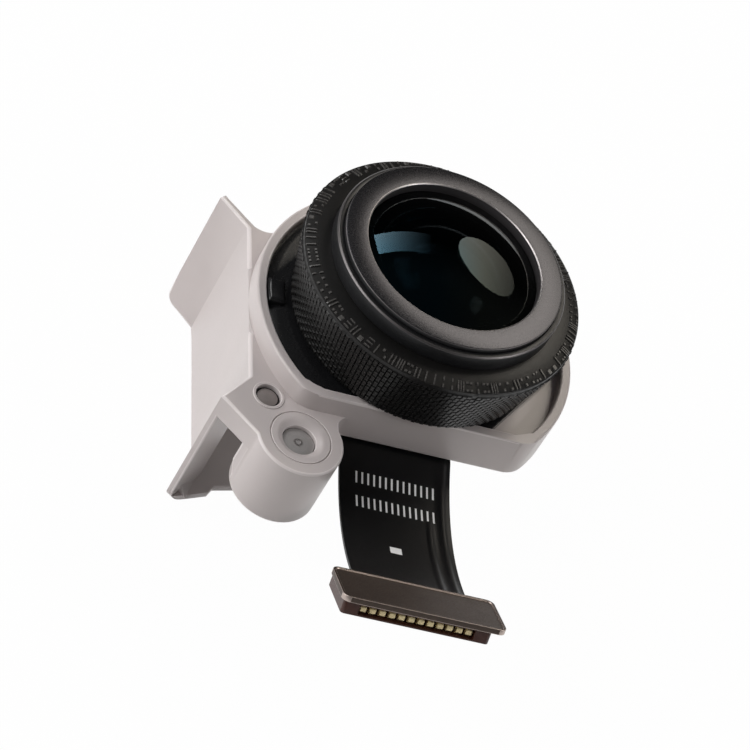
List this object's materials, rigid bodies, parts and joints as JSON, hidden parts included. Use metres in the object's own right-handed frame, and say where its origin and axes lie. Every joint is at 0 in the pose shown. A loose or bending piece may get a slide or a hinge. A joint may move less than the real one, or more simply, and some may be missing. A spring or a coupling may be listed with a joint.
{
  "type": "vision sensor module",
  "caption": "Fisheye camera module: domed lens in a textured barrel, moulded bracket with screw boss and side tabs, and a flexible tail that ends in a connector.",
  "frame": {"origin": "on the optical axis, at the shoulder where the lens nose begins", "axes": "+Z along the optical axis to the front, +Y up along the side wall, +X away from the side wall"},
  "size_m": [0.0189, 0.0274, 0.0161],
  "materials": {
    "bracket_plastic": "fine moulded grain",
    "insert_steel": "turned, semi-gloss",
    "pin_steel": "domed, semi-gloss",
    "holder_plastic": "satin black",
    "barrel_black": "black anodised",
    "grip_rubber": "cross-hatched, matte",
    "bezel_metal": "satin dark grey with bright edges",
    "front_glass": "coated, glossy",
    "seal_rubber": "matte",
    "ring_black": "black anodised",
    "inner_glass": "coated, glossy",
    "filter_glass": "coated, glossy",
    "sensor_ceramic": "glossy",
    "board_laminate": "solder mask",
    "chip_resin": "matte",
    "capacitor_ceramic": "matte",
    "stiffener_steel": "brushed",
    "screw_steel": "plated",
    "tail_film": "satin black film",
    "cover_bronze": "bronze-dark plating with bright edges",
    "housing_plastic": "dark moulded",
    "contact_gold": "gold plated"
  },
  "bodies": {
    "root": {"bracket": "bracket_plastic", "boss_insert": "insert_steel", "datum_pin": "pin_steel", "lens_holder": "holder_plastic", "lens_barrel": "barrel_black", "grip_band": "grip_rubber", "bezel_ring": "bezel_metal", "front_lens": "front_glass", "front_seal": "seal_rubber", "second_lens": "inner_glass", "spacer_ring": "ring_black", "third_lens": "inner_glass", "stop_spacer": "ring_black", "aperture_stop": "ring_black", "fourth_lens": "inner_glass", "fifth_lens": "inner_glass", "lock_ring": "ring_black", "ir_filter": "filter_glass", "image_sensor": "sensor_ceramic", "sensor_glass": "inner_glass", "sensor_board": "board_laminate", "board_chip": "chip_resin", "board_capacitors": "capacitor_ceramic", "stiffener": "stiffener_steel", "board_screws": "screw_steel", "flex_tail": "tail_film", "connector_cover": "cover_bronze", "connector_housing": "housing_plastic", "contacts": "contact_gold"}
  },
  "joints": []
}
